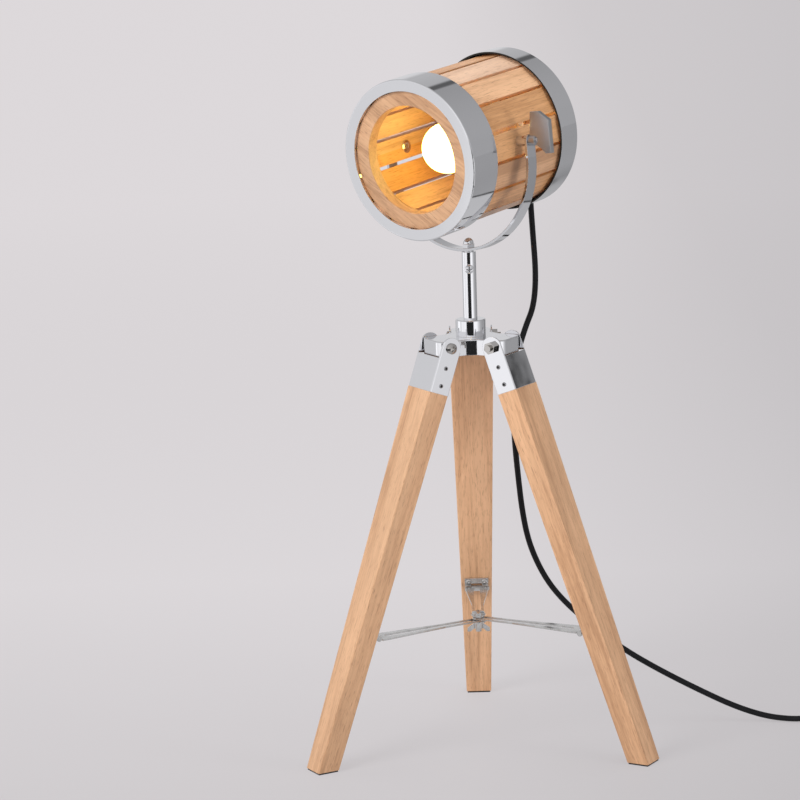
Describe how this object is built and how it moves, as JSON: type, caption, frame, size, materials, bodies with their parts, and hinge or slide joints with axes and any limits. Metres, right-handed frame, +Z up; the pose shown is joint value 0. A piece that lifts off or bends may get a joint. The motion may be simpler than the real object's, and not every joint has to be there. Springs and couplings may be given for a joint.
{
  "type": "tripod spotlight lamp",
  "caption": "Table spotlight lamp: a slatted wooden barrel between chrome hoops in a chrome yoke on a folding wooden tripod with a slotted spreader.",
  "frame": {"origin": "on the floor, under the middle of the lamp's box without its cord; the post stands 40 mm towards the front", "axes": "+Z up, +Y towards the back leg, +X to the right seen from the front; the barrel's mouth looks to -Y and 38.8 degrees round to -X"},
  "size_m": [0.633, 0.3014, 0.6483],
  "materials": {
    "wood": "matt lacquered light hardwood",
    "chrome": "polished",
    "zinc_steel": "zinc plated",
    "foot_rubber": "matt",
    "holder_plastic": "matt",
    "bulb_glass": "frosted",
    "cap_metal": "bright",
    "black_plastic": "satin",
    "black_cord": "satin",
    "pin_metal": "nickel plated"
  },
  "bodies": {
    "stand_head": {"hub_casting": "chrome", "post_collar": "chrome", "post_tube": "chrome", "post_fixing_screw": "chrome", "post_set_screw": "chrome", "cord_lower": "black_cord", "cord_link": "black_cord", "cord_coil": "black_cord", "switch_lower": "black_plastic", "switch_upper": "black_plastic", "plug_body": "black_plastic", "plug_pins": "pin_metal"},
    "yoke": {"yoke_strap": "chrome", "yoke_stem": "chrome", "yoke_acorn_nut": "chrome"},
    "spotlight": {"staves": "wood", "front_hoop": "chrome", "rear_hoop": "chrome", "front_wood_ring": "wood", "rear_wood_disc": "wood", "lamp_holder": "holder_plastic", "bulb_cap": "cap_metal", "bulb_glass": "bulb_glass", "pivot_bolts": "chrome", "pivot_spacers": "chrome", "cord_gland": "black_plastic", "cord_upper": "black_cord"},
    "right_knob": {"pivot_knob_right": "chrome"},
    "left_knob": {"pivot_knob_left": "chrome"},
    "clamp_bolt": {"spreader_bolt": "zinc_steel"},
    "clamp_nut": {"spreader_wing_nut": "zinc_steel"},
    "rocker": {"switch_rocker": "black_plastic"},
    "leg_1": {"leg_1_wood": "wood", "leg_1_bracket": "chrome", "leg_1_hinge_bolt": "chrome", "leg_1_foot_pad": "foot_rubber", "leg_1_spreader_leaf": "zinc_steel", "leg_1_spreader_pin": "zinc_steel"},
    "arm_1": {"spreader_arm_1": "zinc_steel"},
    "leg_2": {"leg_2_wood": "wood", "leg_2_bracket": "chrome", "leg_2_hinge_bolt": "chrome", "leg_2_foot_pad": "foot_rubber", "leg_2_spreader_leaf": "zinc_steel", "leg_2_spreader_pin": "zinc_steel"},
    "arm_2": {"spreader_arm_2": "zinc_steel"},
    "leg_3": {"leg_3_wood": "wood", "leg_3_bracket": "chrome", "leg_3_hinge_bolt": "chrome", "leg_3_foot_pad": "foot_rubber", "leg_3_spreader_leaf": "zinc_steel", "leg_3_spreader_pin": "zinc_steel"},
    "arm_3": {"spreader_arm_3": "zinc_steel"}
  },
  "joints": [
    {"name": "pan", "type": "hinge", "parent": "stand_head", "child": "yoke", "pos_m": [0, -0.04025, 0.45], "axis": [0, 0, 1], "range_deg": [-90, 90], "deforming": ["cord_upper"]},
    {"name": "tilt", "type": "hinge", "parent": "yoke", "child": "spotlight", "pos_m": [-0.00647, -0.03496, 0.56591], "axis": [0.7709, -0.631, 0.0872], "range_deg": [-34, 22], "deforming": ["cord_upper"]},
    {"name": "right_knob_turn", "type": "hinge", "parent": "yoke", "child": "right_knob", "pos_m": [0.06291, -0.09174, 0.57375], "axis": [0.7709, -0.631, 0.0872], "range_deg": [0, 540]},
    {"name": "left_knob_turn", "type": "hinge", "parent": "yoke", "child": "left_knob", "pos_m": [-0.07585, 0.02183, 0.55806], "axis": [-0.7709, 0.631, -0.0872], "range_deg": [0, 540]},
    {"name": "leg_1_fold", "type": "hinge", "parent": "stand_head", "child": "leg_1", "pos_m": [-0.02841, -0.05665, 0.3825], "axis": [0.5, -0.866, 0], "range_deg": [0, 16.5]},
    {"name": "arm_1_hinge", "type": "hinge", "parent": "leg_1", "child": "arm_1", "pos_m": [-0.09782, -0.09673, 0.11905], "axis": [0.5, -0.866, 0], "range_deg": [-16.5, 0]},
    {"name": "leg_2_fold", "type": "hinge", "parent": "stand_head", "child": "leg_2", "pos_m": [0.02841, -0.05665, 0.3825], "axis": [0.5, 0.866, 0], "range_deg": [0, 16.5]},
    {"name": "arm_2_hinge", "type": "hinge", "parent": "leg_2", "child": "arm_2", "pos_m": [0.09782, -0.09673, 0.11905], "axis": [0.5, 0.866, 0], "range_deg": [-16.5, 0]},
    {"name": "leg_3_fold", "type": "hinge", "parent": "stand_head", "child": "leg_3", "pos_m": [0, -0.00745, 0.3825], "axis": [-1, 0, 0], "range_deg": [0, 16.5]},
    {"name": "arm_3_hinge", "type": "hinge", "parent": "leg_3", "child": "arm_3", "pos_m": [0, 0.07271, 0.11905], "axis": [-1, 0, 0], "range_deg": [-16.5, 0]},
    {"name": "clamp_slide", "type": "slide", "parent": "arm_1", "child": "clamp_bolt", "axis": [-0.866, -0.5, 0], "range_m": [0, 0.07813]},
    {"name": "clamp_nut_turn", "type": "hinge", "parent": "clamp_bolt", "child": "clamp_nut", "pos_m": [0, -0.04025, 0.11105], "axis": [0, 0, 1], "range_deg": [-720, 0]},
    {"name": "rocker_tip", "type": "hinge", "parent": "stand_head", "child": "rocker", "pos_m": [0.3755, -0.01425, 0.012], "axis": [0, 1, 0], "range_deg": [-14, 0]}
  ],
  "couplings": [
    {"joint": "arm_1_hinge", "follows": "leg_1_fold", "ratio": -1},
    {"joint": "leg_2_fold", "follows": "leg_1_fold", "ratio": 1},
    {"joint": "arm_2_hinge", "follows": "leg_1_fold", "ratio": -1},
    {"joint": "leg_3_fold", "follows": "leg_1_fold", "ratio": 1},
    {"joint": "arm_3_hinge", "follows": "leg_1_fold", "ratio": -1},
    {"joint": "clamp_slide", "follows": "leg_1_fold", "m_per_rad": 0.27128}
  ]
}
